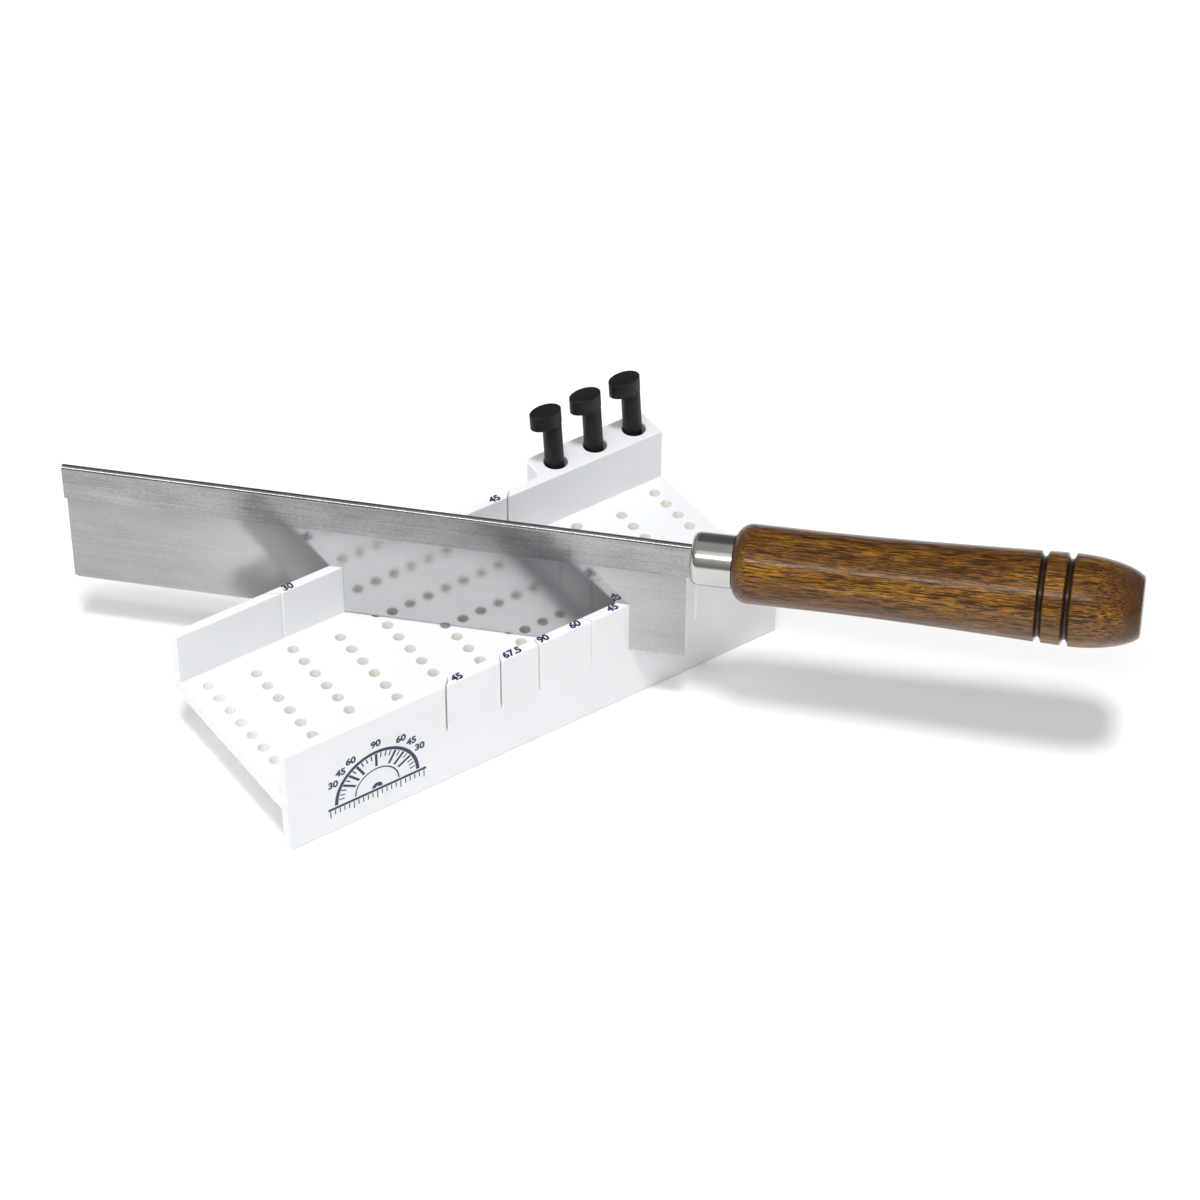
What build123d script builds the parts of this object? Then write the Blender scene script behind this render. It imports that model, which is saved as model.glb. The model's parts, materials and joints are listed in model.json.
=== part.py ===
"""Miter box with a back saw and three cam pegs, in millimetres.

Origin: where the saw slots cross, on the underside of the box floor.
+X runs along the box towards the peg rack, +Y to the back wall, +Z up.
The saw is modelled lengthwise along +X, then turned into its 45 degree slot.
"""
from build123d import *
import math
import os

INCH = 25.4

# How far a cutting shape passes the face that it opens.
overrun = 1.0

# ---- Miter box ----
box_length = 9 * INCH
trough_width = 77.0
front_wall = 4.2
back_wall = 3.9
floor_thickness = 6.2
wall_height = 23.7
hook_drop = 19.0
edge_radius = 0.45
rack_length = 2.25 * INCH
rack_depth = 12.3
rack_corner_radius = 3.0
rack_root_radius = 3.5

floor_top = floor_thickness
wall_top = floor_thickness + wall_height
front_inner = -trough_width / 2
back_inner = trough_width / 2
front_outer = front_inner - front_wall
back_outer = back_inner + back_wall
rack_outer = back_outer + rack_depth

# ---- Peg holes in the floor: staggered columns, mirrored about the middle of the box ----
column_pitch = 19.2
column_count = 12
row_pitch = 8.41
row_count = 8
rows_centre = -0.5
peg_hole_radius = 2.3
first_column = -column_pitch * (column_count - 1) / 2
stagger = row_pitch / 4

# ---- Moulding gate mark on the floor ----
gate_x = -75.0
gate_radius = 1.4
gate_height = 0.15

# ---- Saw slots: direction of each cut, degrees from +X ----
slot_angles = (90, 67.5, 45, -60, -45, -30)
slot_width = 0.6

# ---- Peg rack and pegs ----
peg_count = 3
rack_hole_radius = 4.9
rack_hole_chamfer = 0.3
rack_hole_y = (back_inner + rack_outer) / 2
peg_radius = 3.97
peg_shank_in_rack = 9.5
peg_stand = 25.6
peg_head_height = 6.6
peg_head_half_length = 7.0
peg_head_half_width = 4.7
peg_head_offset = 2.75
peg_head_edge = 0.35
peg_lean_side = 0.5
peg_lean_back = 5.0
peg_shift_back = 0.45
peg_foot_edge = 0.5
spigot_radius = 2.2
spigot_length = 6.0
spigot_offset = 1.5
spigot_edge = 0.4
peg_floor_gap = 0.3
rack_hole_depth = peg_shank_in_rack + spigot_length + peg_floor_gap

# ---- Saw: stations along the blade from the slots' crossing, + towards the handle ----
saw_slot_angle = -45
blade_tip = -165.7
blade_heel = 82.1
blade_thickness = 0.4
teeth_height = floor_top + 0.3
spine_bottom = floor_top + 42.0
spine_top = floor_top + 57.9
tooth_pitch = INCH / 20
tooth_depth = 0.8
tooth_rake = 0.3
blade_corner = 1.0

spine_tip = -166.5
spine_heel = 84.2
spine_thickness = 3.2
spine_lip_thickness = 2.6
spine_gap = 0.44
spine_leaf = (spine_thickness - spine_gap) / 2
blade_inset = 0.3
tail_length = 8.4
tail_play = 0.3
spine_clearance = 0.2
tail_bottom = -4.6
tail_top = 4.6

# ---- Handle, ferrule and tang: stations from the ferrule's front, along their own tilted axis ----
handle_tilt = 1.2
axis_height = floor_top + 51.8
ferrule_station = spine_heel + spine_clearance
ferrule_length = 16.2
ferrule_radius = 10.5
ferrule_wall = 0.7
ferrule_round = 3.0
fit_gap = 0.02

nose_start = 9.6
shoulder_station = ferrule_length + 0.1
shoulder_round = 6.6
front_radius = 15.5
waist_station = 60.0
waist_radius = 15.5
groove_stations = (134.3, 144.5)
groove_half_width = 1.6
groove_half_bottom = 0.45
groove_depth = 2.2
groove_rim_radius = 17.7
belly_radius = 17.9
belly_slope = 0.03
ogive_length = 28.0
ogive_height = 9.2
end_station = 172.7
end_chamfer = 0.5

tang_radius = 3.5
tang_start = 1.4
tang_straight = 14.0
tang_end = 62.0
tang_tip_radius = 1.2


def box_outline():
    """End view of the box: floor, both walls and the bench hook, looking along +X."""
    return Polyline(
        (front_outer, -hook_drop),
        (front_outer, wall_top),
        (front_inner, wall_top),
        (front_inner, floor_top),
        (back_inner, floor_top),
        (back_inner, wall_top),
        (back_outer, wall_top),
        (back_outer, 0),
        (front_inner, 0),
        (front_inner, -hook_drop),
        close=True,
    )


def box_shell():
    """The moulded trough with its rack block, edges softened, before any hole is made."""
    section = Plane.YZ.offset(-box_length / 2) * make_face(box_outline())
    trough = extrude(section, amount=box_length)
    rack_x = box_length / 2 - rack_length / 2
    rack_y = (back_inner + rack_outer) / 2
    rack = Pos(rack_x, rack_y, wall_top / 2) * Box(rack_length, rack_outer - back_inner, wall_top)
    rack_left = box_length / 2 - rack_length
    corner = rack.edges().filter_by(Axis.Z).sort_by_distance((rack_left, rack_outer, wall_top / 2))[0]
    rack = fillet(corner, rack_corner_radius)
    shell = trough + rack
    root = shell.edges().filter_by(Axis.Z).sort_by_distance((rack_left, back_outer, wall_top / 2))[0]
    shell = fillet(root, rack_root_radius)
    return fillet(shell.edges(), edge_radius)


def floor_hole_places():
    """Centres of the floor holes; from each end, every other column is shifted by half a row."""
    for column in range(column_count):
        from_end = min(column, column_count - 1 - column)
        shift = stagger if from_end % 2 == 0 else -stagger
        for row in range(row_count):
            y = rows_centre + shift + row_pitch * (row - (row_count - 1) / 2)
            yield first_column + column * column_pitch, y


def rack_hole_places():
    """Centres of the rack's storage holes, in line with the last floor columns."""
    last_column = first_column + (column_count - 1) * column_pitch
    return [(last_column - (peg_count - 1 - i) * column_pitch, rack_hole_y) for i in range(peg_count)]


def slot_cutter(angle):
    """A thin upright blade of space through both walls, down to the trough floor."""
    depth = wall_height + overrun
    cutter = Box(2 * box_length, slot_width, depth)
    return Rot(0, 0, angle) * Pos(0, 0, floor_top + depth / 2) * cutter


def rack_hole():
    """One blind storage hole, its mouth at the origin."""
    bore = Pos(0, 0, -rack_hole_depth / 2) * Cylinder(rack_hole_radius, rack_hole_depth)
    mouth = Pos(0, 0, -rack_hole_chamfer / 2) * Cone(
        rack_hole_radius, rack_hole_radius + rack_hole_chamfer, rack_hole_chamfer
    )
    return bore + mouth


def miter_box():
    """The whole box moulding."""
    body = box_shell()
    through = floor_thickness + 2 * overrun
    hole = Cylinder(peg_hole_radius, through)
    holes = [Pos(x, y, floor_thickness / 2) * hole for x, y in floor_hole_places()]
    mouths = [Pos(x, y, wall_top) * rack_hole() for x, y in rack_hole_places()]
    slots = [slot_cutter(angle) for angle in slot_angles]
    body = body - holes - mouths - slots
    gate = Pos(gate_x, 0, floor_top + gate_height / 2) * Cylinder(gate_radius, gate_height)
    return body + gate


def saw_blade():
    """The toothed plate; its upper part is inside the folded spine."""
    plate_top = spine_top - spine_leaf - blade_inset
    count = int((blade_heel - blade_tip - blade_corner) / tooth_pitch)
    first = blade_heel - count * tooth_pitch
    outline = [(blade_heel, plate_top), (blade_tip, plate_top), (blade_tip, teeth_height + blade_corner)]
    outline.append((first - tooth_rake, teeth_height + tooth_depth))
    for tooth in range(count):
        root = first + tooth * tooth_pitch
        outline.append((root + tooth_rake, teeth_height))
        outline.append((root + tooth_pitch - tooth_rake, teeth_height + tooth_depth))
    outline.append((blade_heel, teeth_height + tooth_depth))
    face = Plane.XZ * make_face(Polyline(*outline, close=True))
    return extrude(face, amount=blade_thickness / 2, both=True)


def spine_section():
    """Folded strip seen end on: a round fold at the top, and two leaves that close in to the lips."""
    half = spine_thickness / 2
    lip = spine_lip_thickness / 2
    fold = spine_top - half
    leaves = Polyline((-lip, spine_bottom), (-half, fold), (half, fold), (lip, spine_bottom), close=True)
    gap_height = spine_top - spine_leaf - spine_bottom
    gap = Pos(0, spine_bottom + gap_height / 2) * Rectangle(spine_gap, gap_height)
    return make_face(leaves) + Pos(0, fold) * Circle(half) - gap


def saw_spine():
    """The folded back, with a tail that enters the ferrule."""
    length = spine_heel + tail_length - spine_tip
    spine = extrude(Plane.YZ.offset(spine_tip) * spine_section(), amount=length)
    tail_middle = spine_heel + tail_length / 2
    width = spine_thickness + 2 * overrun
    low = spine_bottom - overrun
    under = axis_height + tail_bottom - low
    spine -= Pos(tail_middle, 0, low + under / 2) * Box(tail_length, width, under)
    high = axis_height + tail_top
    over = spine_top + overrun - high
    return spine - Pos(tail_middle, 0, high + over / 2) * Box(tail_length, width, over)


def ferrule():
    """Plated cup: round-edged closed front with a slot for the spine's tail, open at the back."""
    outer = make_face(
        Polyline(
            (0, 0),
            (0, ferrule_radius),
            (ferrule_length, ferrule_radius),
            (ferrule_length, 0),
            close=True,
        )
    )
    outer = fillet(outer.vertices().sort_by_distance((0, ferrule_radius))[0], ferrule_round)
    inner_radius = ferrule_radius - ferrule_wall
    inner = make_face(
        Polyline(
            (ferrule_wall, 0),
            (ferrule_wall, inner_radius),
            (ferrule_length + overrun, inner_radius),
            (ferrule_length + overrun, 0),
            close=True,
        )
    )
    inner = fillet(
        inner.vertices().sort_by_distance((ferrule_wall, inner_radius))[0], ferrule_round - ferrule_wall
    )
    cup = revolve(outer, axis=Axis.X) - revolve(inner, axis=Axis.X)
    slot_height = tail_top - tail_bottom + 2 * tail_play
    return cup - Box(2 * (ferrule_wall + overrun), spine_thickness + spine_clearance, slot_height)


def groove(station, radius):
    """Ring to cut a V groove with a narrow flat bottom into the handle at one station."""
    bottom = radius - groove_depth
    outer_half = 2 * groove_half_width - groove_half_bottom
    outline = Polyline(
        (station - groove_half_bottom, bottom),
        (station + groove_half_bottom, bottom),
        (station + outer_half, radius + groove_depth),
        (station - outer_half, radius + groove_depth),
        close=True,
    )
    return revolve(make_face(outline), axis=Axis.X)


def tang_solid(grow):
    """Round tang with a tapered point, its surface moved out by grow."""
    radius = tang_radius + grow
    outline = Polyline(
        (tang_start - grow, 0),
        (tang_start - grow, radius),
        (tang_straight, radius),
        (tang_end + grow, tang_tip_radius + grow),
        (tang_end + grow, 0),
        close=True,
    )
    return revolve(make_face(outline), axis=Axis.X)


def saw_tang():
    """Steel tang; its slotted front grips the spine's tail."""
    grip_end = tail_length + tail_play
    slot = Box(grip_end, spine_thickness + 2 * fit_gap, 2 * (tang_radius + overrun))
    return tang_solid(0) - Pos(grip_end / 2, 0, 0) * slot


def handle():
    """Turned handle: nose inside the ferrule, round shoulder, slim waist, belly and ogive end."""
    nose_radius = ferrule_radius - ferrule_wall - fit_gap
    shoulder_top = shoulder_station + shoulder_round
    shoulder_corner = front_radius - shoulder_round
    last_groove = groove_stations[-1]
    belly_station = last_groove + groove_half_width
    flare = Spline(
        (shoulder_top, front_radius),
        (waist_station, waist_radius),
        (belly_station, belly_radius),
        tangents=[(1, 0), (1, belly_slope)],
    )
    ogive_turn = math.degrees(math.acos((end_station - belly_station) / ogive_length)) - 90
    ogive_centre = (belly_station, belly_radius - ogive_height)
    ogive = EllipticalCenterArc(
        ogive_centre, ogive_length, ogive_height, start_angle=90, arc_size=ogive_turn
    )
    outline = Wire([
        Line((nose_start, 0), (nose_start, nose_radius)),
        Line((nose_start, nose_radius), (shoulder_station, nose_radius)),
        Line((shoulder_station, nose_radius), (shoulder_station, shoulder_corner)),
        RadiusArc((shoulder_station, shoulder_corner), (shoulder_top, front_radius), shoulder_round),
        flare,
        ogive,
        Line(ogive @ 1, (end_station, 0)),
        Line((end_station, 0), (nose_start, 0)),
    ])
    body = revolve(make_face(outline), axis=Axis.X)
    body = chamfer(body.faces().sort_by(Axis.X)[-1].edges(), end_chamfer)
    for station in groove_stations:
        body -= groove(station, groove_rim_radius)
    return body - tang_solid(fit_gap)


def cam_peg():
    """Upright peg with its shank centred on the origin and the rack's top surface at z = 0."""
    head_bottom = peg_stand - peg_head_height
    shank_height = peg_shank_in_rack + head_bottom
    shank = Pos(0, 0, head_bottom - shank_height / 2) * Cylinder(peg_radius, shank_height)
    shank = chamfer(shank.edges().sort_by(Axis.Z)[0], peg_foot_edge)
    oval = Pos(-peg_head_offset, 0, head_bottom) * Ellipse(peg_head_half_length, peg_head_half_width)
    head = extrude(oval, amount=peg_head_height)
    head = chamfer(head.faces().sort_by(Axis.Z)[-1].edges(), peg_head_edge)
    spigot_z = -peg_shank_in_rack - spigot_length / 2
    spigot = Pos(spigot_offset, 0, spigot_z) * Cylinder(spigot_radius, spigot_length)
    spigot = chamfer(spigot.edges().sort_by(Axis.Z)[0], spigot_edge)
    return shank + head + spigot


def in_rack(shape, x, y):
    """Stand a peg in its hole, leaning on the back of the mouth."""
    pivot = peg_shank_in_rack / 2
    lean = Rot(-peg_lean_back, -peg_lean_side, 0) * Pos(0, 0, pivot) * shape
    return Pos(x, y + peg_shift_back, wall_top - pivot) * lean


def in_slot(shape):
    """Turn a saw piece from along +X into the slot that it stands in."""
    return Rot(0, 0, saw_slot_angle) * shape


def on_handle_axis(shape):
    """Move a piece from its own axis to the handle's, which tips up slightly towards the end."""
    return in_slot(Pos(ferrule_station, 0, axis_height) * Rot(0, -handle_tilt, 0) * shape)


def save(name, shape):
    """Write one node."""
    export_step(shape, f"parts/{name}.step")


os.makedirs("parts", exist_ok=True)
save("miter_box", miter_box())
save("saw_blade", in_slot(saw_blade()))
save("saw_spine", in_slot(saw_spine()))
save("ferrule", on_handle_axis(ferrule()))
save("saw_tang", on_handle_axis(saw_tang()))
save("handle", on_handle_axis(handle()))
for number, (peg_x, peg_y) in enumerate(rack_hole_places(), start=1):
    save(f"cam_peg_{number}", in_rack(cam_peg(), peg_x, peg_y))
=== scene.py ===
"""Looks of the miter box saw: materials, printed numerals, angle mark, floor, light and camera."""
import json
import math

import bmesh
import bpy
from mathutils import Matrix, Vector


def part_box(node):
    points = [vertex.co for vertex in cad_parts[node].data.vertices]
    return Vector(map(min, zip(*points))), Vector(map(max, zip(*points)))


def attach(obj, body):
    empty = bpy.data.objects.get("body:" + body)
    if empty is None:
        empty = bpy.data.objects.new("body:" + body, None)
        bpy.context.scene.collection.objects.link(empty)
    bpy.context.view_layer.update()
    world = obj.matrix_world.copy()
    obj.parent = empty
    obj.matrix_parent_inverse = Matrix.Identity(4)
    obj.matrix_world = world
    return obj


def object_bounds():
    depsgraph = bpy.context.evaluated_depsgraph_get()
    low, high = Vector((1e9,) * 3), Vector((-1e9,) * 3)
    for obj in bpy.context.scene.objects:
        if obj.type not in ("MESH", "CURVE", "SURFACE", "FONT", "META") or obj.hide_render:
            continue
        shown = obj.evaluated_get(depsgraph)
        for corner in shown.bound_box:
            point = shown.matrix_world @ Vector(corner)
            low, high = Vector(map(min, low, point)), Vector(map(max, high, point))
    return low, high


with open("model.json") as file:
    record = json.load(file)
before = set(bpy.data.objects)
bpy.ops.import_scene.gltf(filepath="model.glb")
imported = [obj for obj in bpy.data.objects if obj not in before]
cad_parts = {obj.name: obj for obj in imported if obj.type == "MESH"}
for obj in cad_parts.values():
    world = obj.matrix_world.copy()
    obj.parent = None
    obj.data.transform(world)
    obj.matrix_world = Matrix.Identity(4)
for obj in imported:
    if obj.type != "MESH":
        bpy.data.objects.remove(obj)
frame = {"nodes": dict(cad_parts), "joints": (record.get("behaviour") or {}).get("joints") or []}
cad_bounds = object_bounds()
nodes = frame["nodes"]

MM = 0.001

# ---- Places read from the frame ----
box_low, box_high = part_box("miter_box")
BOX_LENGTH = box_high.x - box_low.x
WALL_TOP = box_high.z
FRONT_FACE = box_low.y
FLOOR_LEVEL = cad_bounds[0][2]
SAW_DIRECTION = Vector(next(j["axis"] for j in frame["joints"] if j["name"] == "saw_stroke"))
SAW_TURN = -math.atan2(SAW_DIRECTION.y, SAW_DIRECTION.x)

# ---- The box's own sizes, and the room that its painted light in the holes and slots leaves at edges ----
TROUGH_HALF = 38.5 * MM
FRONT_WALL = 4.2 * MM
BACK_WALL = 3.9 * MM
FLOOR_TOP = 6.2 * MM
RACK_START = 57.15 * MM
END_ROOM = 1.2 * MM
RACK_ROOM = 3 * MM
HOLE_SIDE_ROOM = 1.0 * MM
HOLE_TOP_ROOM = 0.05 * MM
SLOT_SIDE_ROOM = 0.1 * MM
SLOT_FOOT_ROOM = 0.2 * MM

# ---- The handle's own axis, its stations along it, and how far its stains fade ----
AXIS_START = 84.4 * MM
AXIS_HEIGHT = FLOOR_TOP + 51.8 * MM
AXIS_TILT = math.radians(1.2)
SHOULDER = 16.3 * MM
GROOVES = (134.3 * MM, 144.5 * MM)
GROOVE_HALF = 1.75 * MM
GROOVE_CORE = 0.35 * GROOVE_HALF
HANDLE_END = 172.7 * MM
END_STAIN = (HANDLE_END - 12 * MM, HANDLE_END - 3 * MM)
SHOULDER_STAIN = (SHOULDER, SHOULDER + 6 * MM)

# ---- The blade's darker band towards its top, and its painted sheen: a lighter middle that brightens its reflection ----
DARKER_TOP_START = FLOOR_TOP + 30 * MM
DARKER_TOP_END = FLOOR_TOP + 44 * MM
DARKER_TOP_COLOUR = (0.26, 0.26, 0.28, 1)
PAINTED_SHEEN_CENTRE = -20 * MM
PAINTED_SHEEN_START = 40 * MM
PAINTED_SHEEN_END = 110 * MM
PAINTED_SHEEN_COLOUR = (0.70, 0.70, 0.70, 1)

# ---- Printing: half its thickness, its stroke to its height, and the numbers' sizes ----
INK_LIFT = 0.02 * MM
STROKE_WEIGHT = 0.0435
NUMERAL_SIZE = 4.6 * MM
FRONT_ROW = (("45", -36.2), ("67.5", -11.1), ("90", 3.3), ("60", 18.0), ("45", 35.7), ("30", 64.0))
BACK_ROW = (("30", -62.9), ("45", -33.6), ("60", -18.6), ("90", -5.0), ("67.5", 9.2), ("45", 33.7))

# ---- The printed dial ----
DIAL_X = -74.5 * MM
DIAL_Z = -6.0 * MM
DIAL_ANGLES = (30, 45, 60, 90, 120, 135, 150)
DIAL_STEP = 7.5
ARC_STEP = 4
DIAL_OUTER = 19.0 * MM
DIAL_RIM = 1.5 * MM
DIAL_INNER = (9.4 * MM, 10.0 * MM)
DIAL_HUB = (0.6 * MM, 2.4 * MM)
DIAL_GAP = 1.7 * MM
MAIN_MARK = (11.0 * MM, 1.1 * MM)
MINOR_MARK = (14.8 * MM, 0.55 * MM)
DIAL_NUMBER_RADIUS = 22.4 * MM
DIAL_NUMBER_SIZE = 4.4 * MM
BASE_Y = -1.2 * MM
BASE_SIZE = (44 * MM, 1.2 * MM)
RULE_TOP = -2.0 * MM
RULE_COUNT = 10
RULE_GROUP = 5
RULE_PITCH = 2.1 * MM
RULE_WIDTH = 0.45 * MM
RULE_LONG = 3.6 * MM
RULE_SHORT = 2.4 * MM

# ---- The camera: its place, its direction and roll in degrees, and its lens in mm ----
CAMERA_PLACE = (-0.64825, -1.03087, 1.08762)
CAMERA_AZIMUTH = 34.397
CAMERA_ELEVATION = 41.204
CAMERA_ROLL = 0.377
CAMERA_LENS = 123.524
CAMERA_REACH = 20.0

# ---- The studio: paper, overhead light, and a room that is dimmer behind and near the horizon.
# A fade is where it starts and ends, then the brightness at each. ----
PAPER_HALF = 4.0
PAPER_GAP = 0.1 * MM
OVERHEAD = (-0.13, -0.23, 1.0)
OVERHEAD_STRENGTH = 1.85
OVERHEAD_SPREAD = 11
BACK = Vector((0.425, 0.62, 0.66)).normalized()
BACK_FADE = (0.87, 0.96, 1.0, 0.28)
HORIZON_FADE = (0.12, 0.55, 0.45, 1.0)
ROOM_STRENGTH = 0.48
ROOM_COLOUR = (0.97, 0.985, 1.0, 1.0)


class Nodes:
    """A node tree, with short calls to add and join its nodes."""

    def __init__(self, tree):
        self.tree = tree

    def feed(self, socket, value):
        """Join a socket to another, or set its value."""
        if isinstance(value, bpy.types.NodeSocket):
            self.tree.links.new(value, socket)
        else:
            socket.default_value = value

    def add(self, kind, inputs=None, **settings):
        """A new node with its settings and inputs."""
        node = self.tree.nodes.new("ShaderNode" + kind)
        for name, value in settings.items():
            setattr(node, name, value)
        for key, value in (inputs or {}).items():
            self.feed(node.inputs[key], value)
        return node

    def calc(self, operation, *values):
        """The result of a Math node."""
        node = self.add("Math", dict(enumerate(values)), operation=operation)
        return node.outputs[0]

    def product(self, *values):
        """All the values multiplied together."""
        result = values[0]
        for value in values[1:]:
            result = self.calc("MULTIPLY", result, value)
        return result

    def mix(self, factor, first, second):
        """Two colours mixed."""
        node = self.add("Mix", {0: factor, 6: first, 7: second}, data_type="RGBA")
        return node.outputs[2]

    def ramp(self, factor, stops):
        """A colour ramp through (position, colour) stops."""
        node = self.add("ValToRGB", {0: factor})
        elements = node.color_ramp.elements
        while len(elements) < len(stops):
            elements.new(0.5)
        for element, (position, colour) in zip(elements, stops):
            element.position = position
            element.color = colour
        return node.outputs[0]

    def spread(self, value, low, high, out_low=0.0, out_high=1.0):
        """A value mapped smoothly from one range to another, and clamped."""
        inputs = {0: value, 1: low, 2: high, 3: out_low, 4: out_high}
        return self.add("MapRange", inputs, interpolation_type="SMOOTHSTEP").outputs[0]

    def coords(self, turn=(0, 0, 0), scale=(1, 1, 1), shift=(0, 0, 0)):
        """Object coordinates, moved, turned and scaled."""
        place = self.add("TexCoord").outputs["Object"]
        moved = self.add("VectorMath", {0: place, 1: shift}, operation="ADD").outputs[0]
        turned = self.add("Mapping", {"Vector": moved, "Rotation": turn}).outputs[0]
        return self.add("Mapping", {"Vector": turned, "Scale": scale}).outputs[0]

    def noise(self, place, scale=1.0, detail=4.0, roughness=0.55, distortion=0.0):
        """Noise between about 0 and 1."""
        inputs = {
            "Vector": place,
            "Scale": scale,
            "Detail": detail,
            "Roughness": roughness,
            "Distortion": distortion,
        }
        return self.add("TexNoise", inputs).outputs["Fac"]

    def axes(self, vector):
        """The x, y and z of a vector."""
        return self.add("SeparateXYZ", {0: vector}).outputs


class Shade(Nodes):
    """A material's node tree and its shader."""

    def __init__(self, name):
        self.material = bpy.data.materials.new(name)
        self.material.use_nodes = True
        super().__init__(self.material.node_tree)
        self.shader = self.tree.nodes["Principled BSDF"]

    def bump(self, height, distance, strength):
        """A bumped normal, for the shader."""
        inputs = {"Height": height, "Distance": distance, "Strength": strength}
        normal = self.add("Bump", inputs).outputs[0]
        self.feed(self.shader.inputs["Normal"], normal)

    def finish(self, **values):
        """Set the shader's own sockets."""
        for name, value in values.items():
            self.feed(self.shader.inputs[name.replace("_", " ")], value)
        return self.material


def grey(level):
    """An opaque grey."""
    return (level, level, level, 1.0)


def white_plastic():
    """Moulded white plastic, with painted light inside its floor holes and its sawn slots: cream
    hole walls, darker towards their foot, and lighter slot faces.
    """
    s = Shade("white_plastic")
    x, y, z = s.axes(s.coords())
    normal = s.axes(s.add("NewGeometry").outputs["Normal"])
    across = s.calc("ABSOLUTE", x)
    depth = s.calc("ABSOLUTE", y)
    upright = s.calc("LESS_THAN", s.calc("ABSOLUTE", normal[2]), 0.6)
    inboard = s.calc("LESS_THAN", across, BOX_LENGTH / 2 - END_ROOM)

    in_trough = s.calc("LESS_THAN", depth, TROUGH_HALF - HOLE_SIDE_ROOM)
    in_floor = s.calc("LESS_THAN", z, FLOOR_TOP - HOLE_TOP_ROOM)
    hole = s.product(upright, inboard, in_trough, in_floor)

    sideways = s.calc("GREATER_THAN", s.calc("ABSOLUTE", normal[0]), 0.3)
    in_wall = s.calc("GREATER_THAN", depth, TROUGH_HALF + SLOT_SIDE_ROOM)
    above = s.calc("GREATER_THAN", z, FLOOR_TOP - SLOT_FOOT_ROOM)
    behind = s.calc("GREATER_THAN", y, 0.0)
    by_rack = s.calc("GREATER_THAN", x, RACK_START - RACK_ROOM)
    clear_of_rack = s.calc("SUBTRACT", 1.0, s.product(behind, by_rack))
    slot = s.product(upright, inboard, sideways, in_wall, above, clear_of_rack)

    cloud = s.noise(s.coords(scale=(22, 22, 22)), detail=3.0)
    skin = s.ramp(cloud, [(0.3, (0.785, 0.795, 0.812, 1)), (0.7, (0.822, 0.830, 0.845, 1))])
    # Painted light in the floor holes: cream walls stand in for light glowing through the plastic,
    # with painted shade darker towards their foot.
    fade = s.spread(z, 0.0, FLOOR_TOP)
    painted_hole_glow = s.mix(fade, (0.98, 0.95, 0.89, 1), (1.0, 0.985, 0.95, 1))
    body = s.mix(hole, skin, painted_hole_glow)
    # Painted light on the sawn slots' faces: lighter than the skin, so the narrow slots don't read
    # as dark shade.
    body = s.mix(slot, body, (0.98, 0.965, 0.935, 1))

    grain = s.noise(s.coords(scale=(1500, 1500, 1500)), detail=2.0)
    ripple = s.noise(s.coords(scale=(35, 35, 35)), detail=2.0)
    s.bump(s.calc("ADD", s.product(grain, 0.25), ripple), 0.04 * MM, 0.6)
    sheen = s.spread(cloud, 0.3, 0.7, 0.30, 0.40)
    return s.finish(
        Base_Color=body,
        Roughness=sheen,
        Subsurface_Weight=0.25,
        Subsurface_Radius=(1.0, 0.85, 0.7),
        Subsurface_Scale=2.0 * MM,
        IOR=1.46,
    )


def rolled_steel(name, dark, light, rough, darker_top, painted_sheen):
    """Steel with fine lines along the saw, cloudy and lightly specked."""
    s = Shade(name)
    turn = (0, 0, SAW_TURN)
    streak = s.noise(s.coords(turn, (9, 60, 900)), detail=6.0, roughness=0.7)
    fine = s.noise(s.coords(turn, (120, 400, 5200)), detail=3.0, roughness=0.6)
    cloud = s.noise(s.coords(turn, (30, 30, 90)), detail=5.0, roughness=0.65)
    speck = s.noise(s.coords(turn, (700, 700, 1400)), detail=3.0)
    mixed = s.calc("ADD", s.product(streak, 0.33), s.product(cloud, 0.37))
    mixed = s.calc("ADD", mixed, s.product(speck, 0.30))
    colour = s.ramp(mixed, [(0.40, dark), (0.60, light)])
    height = s.axes(s.coords())[2]
    along = s.axes(s.coords(turn))[0]
    # Painted sheen: the blade's colour is lighter round its middle, so the trough floor it mirrors
    # reads brighter there.
    away = s.calc("ABSOLUTE", s.calc("ADD", along, -PAINTED_SHEEN_CENTRE))
    middle = s.spread(away, PAINTED_SHEEN_START, PAINTED_SHEEN_END, painted_sheen, 0.0)
    colour = s.mix(middle, colour, PAINTED_SHEEN_COLOUR)
    # Darker towards the top of the blade, under the spine.
    darker_top_band = s.spread(height, DARKER_TOP_START, DARKER_TOP_END, 0.0, darker_top)
    colour = s.mix(darker_top_band, colour, DARKER_TOP_COLOUR)
    lines = s.calc("ADD", s.product(fine, 0.6), s.product(streak, 0.4))
    s.bump(lines, 0.003 * MM, 0.4)
    gloss = s.spread(mixed, 0.38, 0.62, *rough)
    return s.finish(Base_Color=colour, Metallic=1.0, Roughness=gloss)


def handle_coords(s, scale=(1, 1, 1)):
    """Coordinates along (x) and across (y, z) the handle, from the ferrule's front."""
    start = SAW_DIRECTION * AXIS_START + Vector((0, 0, AXIS_HEIGHT))
    level = s.coords((0, 0, SAW_TURN), (1, 1, 1), tuple(-start))
    upright = s.add("Mapping", {"Vector": level, "Rotation": (0, AXIS_TILT, 0)}).outputs[0]
    return s.add("Mapping", {"Vector": upright, "Scale": scale}).outputs[0]


def contour(s, value, level, width):
    """1 on the line where a value passes a level, fading to 0 at the given width."""
    away = s.calc("ABSOLUTE", s.calc("SUBTRACT", value, level))
    return s.spread(away, 0.0, width, 1.0, 0.0)


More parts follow.
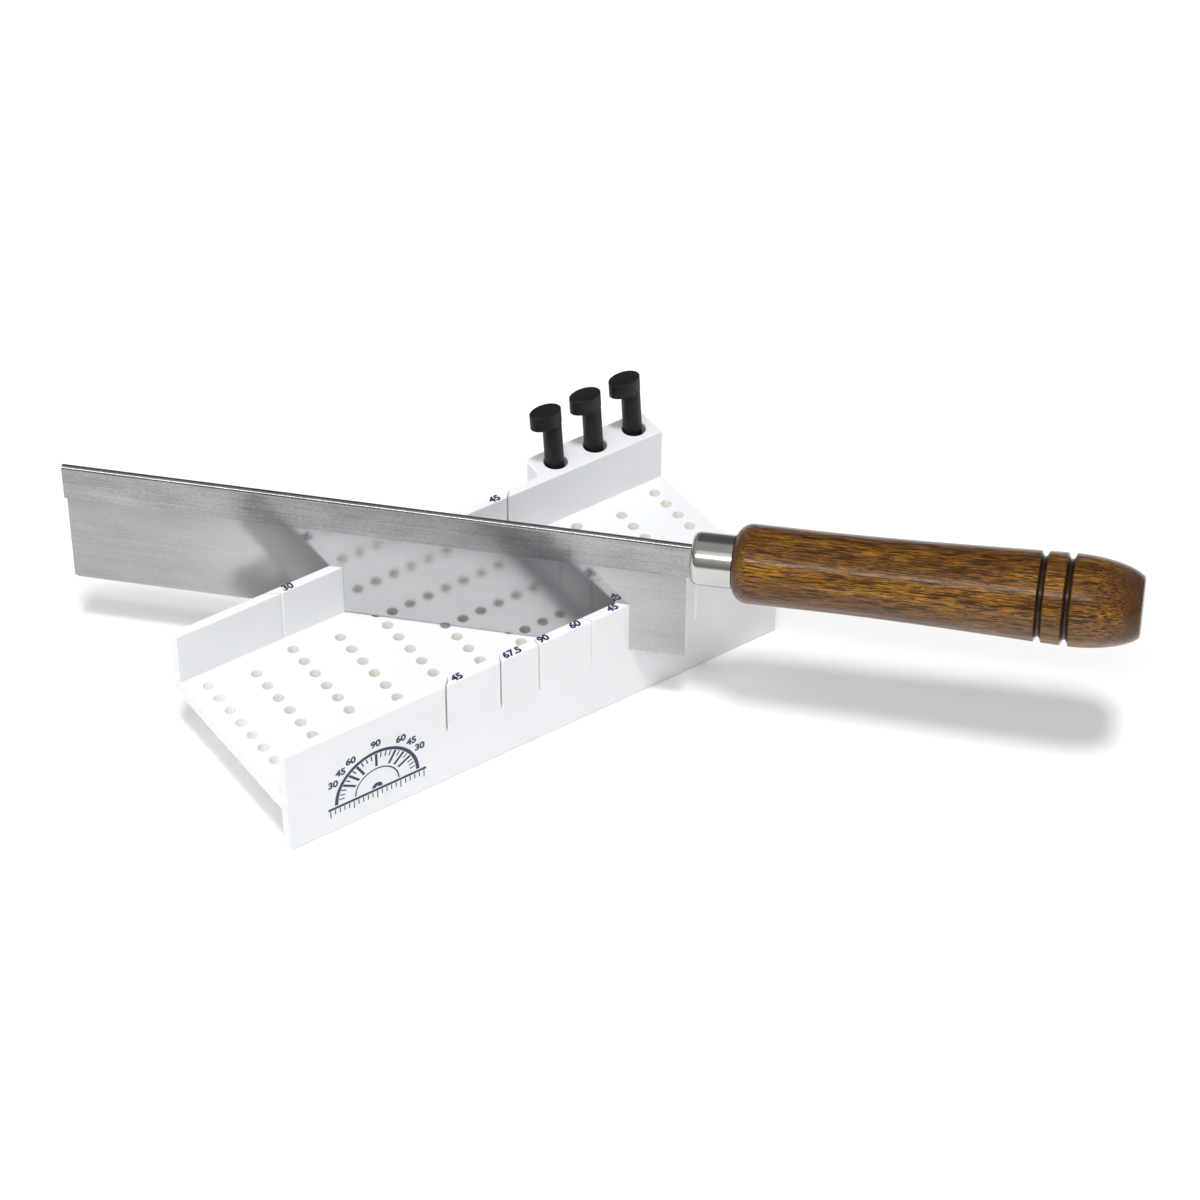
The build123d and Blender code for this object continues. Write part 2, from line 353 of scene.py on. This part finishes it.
def varnished_wood():
    """Stained open-grained wood under varnish, with two burned grooves."""
    s = Shade("varnished_wood")
    station = s.axes(handle_coords(s))[0]
    figure = s.noise(handle_coords(s, (14, 95, 95)), detail=4.0, roughness=0.6, distortion=0.5)
    grain = s.noise(handle_coords(s, (38, 860, 860)), detail=4.0, roughness=0.62, distortion=0.35)
    pores = s.noise(handle_coords(s, (95, 2300, 2300)), detail=2.0, roughness=0.6, distortion=0.25)
    breaks = s.noise(handle_coords(s, (210, 700, 700)), detail=2.0)

    body = s.ramp(figure, [
        (0.30, (0.125, 0.045, 0.003, 1)),
        (0.50, (0.240, 0.098, 0.006, 1)),
        (0.70, (0.390, 0.182, 0.014, 1)),
    ])
    vein = s.calc("MAXIMUM", contour(s, grain, 0.46, 0.055), contour(s, grain, 0.56, 0.040))
    vein = s.product(vein, s.spread(breaks, 0.36, 0.52), 0.80)
    pore = s.product(s.spread(pores, 0.45, 0.53, 1.0, 0.0), 0.93)
    lines = s.calc("MAXIMUM", vein, pore)
    body = s.mix(lines, body, (0.022, 0.007, 0.002, 1))

    burn = 0.0
    for groove in GROOVES:
        away = s.calc("ABSOLUTE", s.calc("SUBTRACT", station, groove))
        ring = s.spread(away, GROOVE_CORE, GROOVE_HALF, 0.93, 0.0)
        burn = s.calc("MAXIMUM", ring, burn)
    body = s.mix(burn, body, (0.012, 0.005, 0.003, 1))
    end = s.spread(station, *END_STAIN, 0.0, 0.80)
    body = s.mix(end, body, (0.055, 0.020, 0.006, 1))
    shoulder = s.spread(station, *SHOULDER_STAIN, 0.85, 0.0)
    body = s.mix(shoulder, body, (0.055, 0.020, 0.006, 1))

    s.bump(s.calc("SUBTRACT", 1.0, lines), 0.11 * MM, 0.7)
    wear = s.noise(handle_coords(s, (30, 60, 60)), detail=3.0)
    rough = s.spread(wear, 0.3, 0.7, 0.42, 0.55)
    return s.finish(
        Base_Color=body,
        Roughness=rough,
        Specular_IOR_Level=0.15,
        Coat_Weight=0.85,
        Coat_Roughness=0.19,
        Coat_IOR=1.34,
    )


def bright_nickel():
    """Nickel plate with faint turning lines round the ferrule."""
    s = Shade("bright_nickel")
    rings = s.noise(handle_coords(s, (2600, 40, 40)), detail=3.0)
    cloud = s.noise(handle_coords(s, (60, 60, 60)), detail=3.0)
    colour = s.ramp(cloud, [(0.3, (0.47, 0.46, 0.43, 1)), (0.7, (0.56, 0.55, 0.52, 1))])
    s.bump(rings, 0.003 * MM, 0.5)
    rough = s.spread(cloud, 0.3, 0.7, 0.11, 0.18)
    return s.finish(Base_Color=colour, Metallic=1.0, Roughness=rough)


def black_plastic():
    """Near-black plastic with a fine moulded grain."""
    s = Shade("black_plastic")
    grain = s.noise(s.coords(scale=(1400, 1400, 1400)), detail=3.0)
    cloud = s.noise(s.coords(scale=(160, 160, 160)), detail=3.0)
    colour = s.ramp(cloud, [(0.3, (0.005, 0.006, 0.007, 1)), (0.7, (0.011, 0.013, 0.014, 1))])
    s.bump(s.calc("ADD", grain, cloud), 0.05 * MM, 0.6)
    rough = s.spread(grain, 0.3, 0.7, 0.42, 0.58)
    return s.finish(Base_Color=colour, Roughness=rough, Specular_IOR_Level=0.28)


def navy_ink():
    """Pad-printed ink, a little thin in places."""
    s = Shade("navy_ink")
    cloud = s.noise(s.coords(scale=(900, 900, 900)), detail=3.0)
    colour = s.ramp(cloud, [(0.35, (0.010, 0.010, 0.060, 1)), (0.75, (0.018, 0.018, 0.090, 1))])
    return s.finish(Base_Color=colour, Roughness=0.42)


def floor_paper():
    """Pale studio paper."""
    s = Shade("floor_paper")
    fibre = s.noise(s.coords(scale=(300, 300, 300)), detail=3.0)
    colour = s.ramp(fibre, [(0.3, grey(0.95)), (0.7, grey(0.97))])
    return s.finish(Base_Color=colour, Roughness=0.9, Specular_IOR_Level=0.0)


def dress(material, *names):
    """Give CAD nodes their material."""
    for name in names:
        slots = nodes[name].data.materials
        slots.clear()
        slots.append(material)


def new_object(name, mesh, material):
    """A mesh object in the scene, with its material."""
    mesh.materials.clear()
    mesh.materials.append(material)
    piece = bpy.data.objects.new(name, mesh)
    bpy.context.scene.collection.objects.link(piece)
    return piece


def printed(piece):
    """Printing rides on the box."""
    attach(piece, "box")


def lettering(text, size):
    """Bold digits as a thin closed mesh, centred on the origin and facing +Z."""
    curve = bpy.data.curves.new("digits", "FONT")
    curve.body = text
    curve.size = size
    curve.offset = STROKE_WEIGHT * size
    curve.align_x = "CENTER"
    curve.align_y = "CENTER"
    curve.extrude = INK_LIFT
    holder = bpy.data.objects.new("digits", curve)
    bpy.context.scene.collection.objects.link(holder)
    graph = bpy.context.evaluated_depsgraph_get()
    mesh = bpy.data.meshes.new_from_object(holder.evaluated_get(graph))
    bpy.data.objects.remove(holder)
    return mesh


def numeral(text, x, y, ink):
    """A number printed on a wall's top face, read from the front."""
    mesh = lettering(text, NUMERAL_SIZE)
    mesh.transform(Matrix.Translation((x, y, WALL_TOP)))
    side = "front" if y < 0 else "back"
    place = f"{x / MM:.0f}".replace("-", "m")
    printed(new_object(f"numeral_{side}_{place}", mesh, ink))


def numerals(ink):
    """The cut angles beside their slots, on both walls."""
    front = -TROUGH_HALF - FRONT_WALL / 2
    back = TROUGH_HALF + BACK_WALL / 2
    for row, y in ((FRONT_ROW, front), (BACK_ROW, back)):
        for text, x in row:
            numeral(text, x * MM, y, ink)


def sector(inner, outer, start, end):
    """Outline of a piece of a ring, angles in degrees from +X."""
    count = max(2, round((end - start) / ARC_STEP) + 1)
    angles = [math.radians(start + (end - start) * i / (count - 1)) for i in range(count)]
    outside = [(outer * math.cos(a), outer * math.sin(a)) for a in angles]
    inside = [(inner * math.cos(a), inner * math.sin(a)) for a in reversed(angles)]
    return outside + inside


def spoke(inner, outer, angle, width):
    """Outline of a straight mark that points away from the origin."""
    turn = Matrix.Rotation(math.radians(angle), 2)
    corners = [(inner, -width / 2), (outer, -width / 2), (outer, width / 2), (inner, width / 2)]
    return [tuple(turn @ Vector(corner)) for corner in corners]


def oblong(x, y, width, height):
    """Outline of a rectangle centred on a point."""
    left, right = x - width / 2, x + width / 2
    low, high = y - height / 2, y + height / 2
    return [(left, low), (right, low), (right, high), (left, high)]


def flat_prints(outlines):
    """Thin closed prints with these outlines, facing +Z."""
    mesh = bpy.data.meshes.new("prints")
    net = bmesh.new()
    for outline in outlines:
        low = [net.verts.new((x, y, -INK_LIFT)) for x, y in outline]
        high = [net.verts.new((x, y, INK_LIFT)) for x, y in outline]
        net.faces.new(list(reversed(low)))
        net.faces.new(high)
        for i in range(len(outline)):
            after = (i + 1) % len(outline)
            net.faces.new((low[i], low[after], high[after], high[i]))
    net.to_mesh(mesh)
    net.free()
    return mesh


def dial_outlines():
    """A protractor: two arcs, a hub, its marks by angle, and a ruled base."""
    outlines = [
        sector(DIAL_OUTER - DIAL_RIM, DIAL_OUTER, 0, 180),
        sector(*DIAL_INNER, 0, 180),
        sector(*DIAL_HUB, 0, 180),
    ]
    for step in range(1, round(180 / DIAL_STEP)):
        angle = step * DIAL_STEP
        start, width = MAIN_MARK if angle in DIAL_ANGLES else MINOR_MARK
        outlines.append(spoke(start, DIAL_OUTER - DIAL_GAP, angle, width))
    outlines.append(oblong(0, BASE_Y, *BASE_SIZE))
    for step in range(-RULE_COUNT, RULE_COUNT + 1):
        length = RULE_LONG if step % RULE_GROUP == 0 else RULE_SHORT
        outlines.append(oblong(step * RULE_PITCH, RULE_TOP - length / 2, RULE_WIDTH, length))
    return outlines


def angle_dial(ink):
    """A plain protractor printed on the front wall's outer face."""
    upright = Matrix.Rotation(math.pi / 2, 4, "X")
    place = Matrix.Translation((DIAL_X, FRONT_FACE, DIAL_Z)) @ upright
    dial = flat_prints(dial_outlines())
    dial.transform(place)
    printed(new_object("angle_dial", dial, ink))
    for angle in DIAL_ANGLES:
        digits = lettering(str(round(min(angle, 180 - angle))), DIAL_NUMBER_SIZE)
        turn = math.radians(angle)
        outward = Vector((math.cos(turn), math.sin(turn), 0)) * DIAL_NUMBER_RADIUS
        digits.transform(Matrix.Translation(outward))
        digits.transform(place)
        printed(new_object(f"dial_number_{angle:.0f}", digits, ink))


def camera():
    """The camera, level but for a small roll, looking down on the box from its front left."""
    azimuth = math.radians(CAMERA_AZIMUTH)
    elevation = math.radians(CAMERA_ELEVATION)
    roll = math.radians(CAMERA_ROLL)
    forward = Vector((
        math.sin(azimuth) * math.cos(elevation),
        math.cos(azimuth) * math.cos(elevation),
        -math.sin(elevation),
    ))
    right = Vector((math.cos(azimuth), -math.sin(azimuth), 0))
    up = right.cross(forward)
    right, up = (
        right * math.cos(roll) + up * math.sin(roll),
        up * math.cos(roll) - right * math.sin(roll),
    )
    turn = Matrix((right, up, -forward)).transposed().to_4x4()
    lens = bpy.data.cameras.new("camera")
    lens.sensor_width = 36.0
    lens.lens = CAMERA_LENS
    lens.clip_end = CAMERA_REACH
    view = bpy.data.objects.new("camera", lens)
    view.matrix_world = Matrix.Translation(CAMERA_PLACE) @ turn
    bpy.context.scene.collection.objects.link(view)
    bpy.context.scene.camera = view


def floor(material):
    """A wide pale floor under the lowest point of the object."""
    mesh = bpy.data.meshes.new("floor")
    net = bmesh.new()
    bmesh.ops.create_grid(net, x_segments=8, y_segments=8, size=PAPER_HALF)
    net.to_mesh(mesh)
    net.free()
    mesh.transform(Matrix.Translation((0, 0, FLOOR_LEVEL - PAPER_GAP)))
    new_object("floor", mesh, material)


def softbox(name, direction, across, distance, size, power):
    """A rectangular area light that faces the object, its first side along a given direction."""
    lamp = bpy.data.lights.new(name, "AREA")
    lamp.shape = "RECTANGLE"
    lamp.size, lamp.size_y = size
    lamp.energy = power
    away = Vector(direction).normalized()
    along = (across - across.dot(away) * away).normalized()
    turn = Matrix((along, away.cross(along), away)).transposed().to_4x4()
    holder = bpy.data.objects.new(name, lamp)
    holder.matrix_world = Matrix.Translation(away * distance) @ turn
    bpy.context.scene.collection.objects.link(holder)
    return holder


def overhead():
    """An even light from nearly overhead, which gives the soft shadows on the floor."""
    lamp = bpy.data.lights.new("overhead", "SUN")
    lamp.energy = OVERHEAD_STRENGTH
    lamp.angle = math.radians(OVERHEAD_SPREAD)
    holder = bpy.data.objects.new("overhead", lamp)
    holder.rotation_euler = Vector(OVERHEAD).to_track_quat("Z", "Y").to_euler()
    holder.visible_glossy = False
    bpy.context.scene.collection.objects.link(holder)


def surround():
    """Pale room light: dim in a patch behind the object and in a band round the horizon."""
    world = bpy.data.worlds.new("studio")
    world.use_nodes = True
    n = Nodes(world.node_tree)
    direction = n.add("TexCoord").outputs["Generated"]
    along_back = n.add("VectorMath", {0: direction, 1: BACK}, operation="DOT_PRODUCT")
    rear = n.spread(along_back.outputs["Value"], *BACK_FADE)
    above = n.spread(n.axes(direction)[2], *HORIZON_FADE)
    background = n.tree.nodes["Background"]
    n.feed(background.inputs["Color"], ROOM_COLOUR)
    n.feed(background.inputs["Strength"], n.product(rear, above, ROOM_STRENGTH))
    bpy.context.scene.world = world


def studio():
    """Soft lights above and beside the camera, one overhead, and a pale surround."""
    front = (-0.38, -0.34, 0.80)
    strip = (-0.549, -0.351, 0.758)
    left = (-0.85, 0.35, 0.55)
    level = Vector((0, 1, 0))
    softbox("front_softbox", front, SAW_DIRECTION, distance=2.2, size=(2.0, 1.16), power=4.0)
    softbox("strip", strip, SAW_DIRECTION, distance=1.6, size=(1.3, 0.20), power=6.5)
    fill = softbox("left_fill", left, level, distance=2.2, size=(1.6, 1.0), power=6.0)
    fill.visible_glossy = False
    overhead()
    surround()
    bpy.context.scene.view_settings.view_transform = "Standard"


camera()
studio()
floor(floor_paper())
dress(white_plastic(), "miter_box")
blade_steel = rolled_steel(
    "blade_steel",
    dark=(0.315, 0.315, 0.325, 1),
    light=(0.395, 0.395, 0.395, 1),
    rough=(0.10, 0.16),
    darker_top=0.35,
    painted_sheen=0.45,
)
spine_steel = rolled_steel(
    "spine_steel",
    dark=(0.24, 0.24, 0.25, 1),
    light=(0.42, 0.41, 0.41, 1),
    rough=(0.16, 0.26),
    darker_top=0.0,
    painted_sheen=0.0,
)
dress(blade_steel, "saw_blade")
dress(spine_steel, "saw_spine", "saw_tang")
dress(bright_nickel(), "ferrule")
dress(varnished_wood(), "handle")
dress(black_plastic(), "cam_peg_1", "cam_peg_2", "cam_peg_3")
ink_finish = navy_ink()
numerals(ink_finish)
angle_dial(ink_finish)
